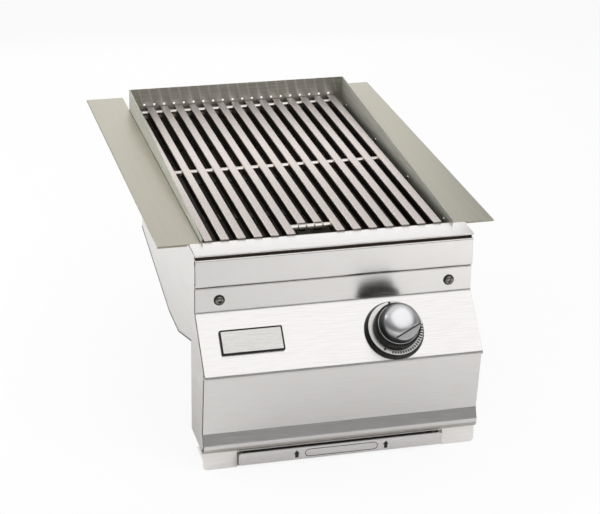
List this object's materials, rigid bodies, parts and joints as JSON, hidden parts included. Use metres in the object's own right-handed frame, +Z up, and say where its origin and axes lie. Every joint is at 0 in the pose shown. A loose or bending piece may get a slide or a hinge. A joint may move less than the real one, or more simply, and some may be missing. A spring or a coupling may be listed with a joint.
{
  "type": "searing station",
  "caption": "Drop-in stainless gas searing station: lift-out rod grate, slanted panel with a push-and-turn knob, hanging side wings and a pull-out instruction tray.",
  "frame": {"origin": "on the counter top, at the middle of the cut-out's front edge", "axes": "+X to the user's right, +Y to the back away from the user, +Z up"},
  "size_m": [0.389, 0.6193, 0.2719],
  "materials": {
    "brushed_stainless": "brushed along the width",
    "mill_stainless": "mill finish, dull",
    "liner_stainless": "brushed along the walls, in shade",
    "grate_stainless": "ground flat tops",
    "burner_stainless": "plain sheet",
    "burner_ceramic": "matt, perforated",
    "screw_steel": "polished heads",
    "washer_rubber": "matt",
    "plate_aluminium": "fine grained",
    "black_plastic": "satin",
    "knob_chrome": "satin plated",
    "valve_steel": "turned",
    "valve_aluminium": "cast",
    "gas_brass": "turned",
    "gas_steel": "zinc grey",
    "electrode_ceramic": "glazed",
    "lead_rubber": "silicone sleeve"
  },
  "bodies": {
    "station": {"top_ledge": "brushed_stainless", "control_panel": "brushed_stainless", "lower_panel": "brushed_stainless", "side_plate_left": "brushed_stainless", "side_plate_right": "brushed_stainless", "base_skirt": "brushed_stainless", "hanger_left": "mill_stainless", "hanger_right": "mill_stainless", "bottom_shield": "mill_stainless", "lower_brace": "mill_stainless", "tray_runner_left": "mill_stainless", "tray_runner_right": "mill_stainless", "panel_brackets": "mill_stainless", "liner_left": "liner_stainless", "liner_right": "liner_stainless", "liner_rear": "liner_stainless", "liner_front": "liner_stainless", "firebox_floor": "liner_stainless", "grate_rest_front": "liner_stainless", "grate_rest_rear": "liner_stainless", "wall_rivets": "liner_stainless", "burner_pan": "burner_stainless", "burner_frame": "burner_stainless", "burner_brackets": "burner_stainless", "venturi_tube": "burner_stainless", "ceramic_tiles": "burner_ceramic", "panel_screws": "screw_steel", "screw_washers": "washer_rubber", "nameplate": "plate_aluminium", "dial_plate": "plate_aluminium", "bezel_ring": "black_plastic", "piezo_igniter": "black_plastic", "valve_body": "valve_aluminium", "burner_orifice": "gas_brass", "inlet_fitting": "gas_brass", "manifold_pipe": "gas_steel", "manifold_elbow": "gas_steel", "igniter_electrode": "electrode_ceramic", "igniter_lead": "lead_rubber"},
    "grate": {"grate_rods": "grate_stainless", "grate_rear_bar": "grate_stainless", "grate_mid_bar": "grate_stainless", "grate_lift_bar": "grate_stainless"},
    "valve_plunger": {"stem_sleeve": "valve_steel"},
    "knob": {"valve_stem": "valve_steel", "knob_skirt": "black_plastic", "knob_bead": "knob_chrome", "knob_dome": "knob_chrome"},
    "tray": {"tray_front": "brushed_stainless", "tray_plate": "brushed_stainless"},
    "air_shutter": {"air_shutter": "burner_stainless"}
  },
  "joints": [
    {"name": "grate_lift", "type": "slide", "parent": "station", "child": "grate", "axis": [0, 0, 1], "range_m": [0, 0.08]},
    {"name": "knob_push", "type": "slide", "parent": "station", "child": "valve_plunger", "axis": [0, 0.7219, -0.692], "range_m": [0, 0.003], "stiffness_N_per_m": 1200, "springref_m": -0.004},
    {"name": "knob_turn", "type": "hinge", "parent": "valve_plunger", "child": "knob", "pos_m": [0.061, -0.06005, -0.09656], "axis": [0, -0.7219, 0.692], "range_deg": [0, 225]},
    {"name": "tray_pull", "type": "slide", "parent": "station", "child": "tray", "axis": [0, -1, 0], "range_m": [0, 0.045]},
    {"name": "shutter_turn", "type": "hinge", "parent": "station", "child": "air_shutter", "pos_m": [0.061, 0.005, -0.113], "axis": [0, 1, 0], "range_deg": [0, 60]}
  ]
}
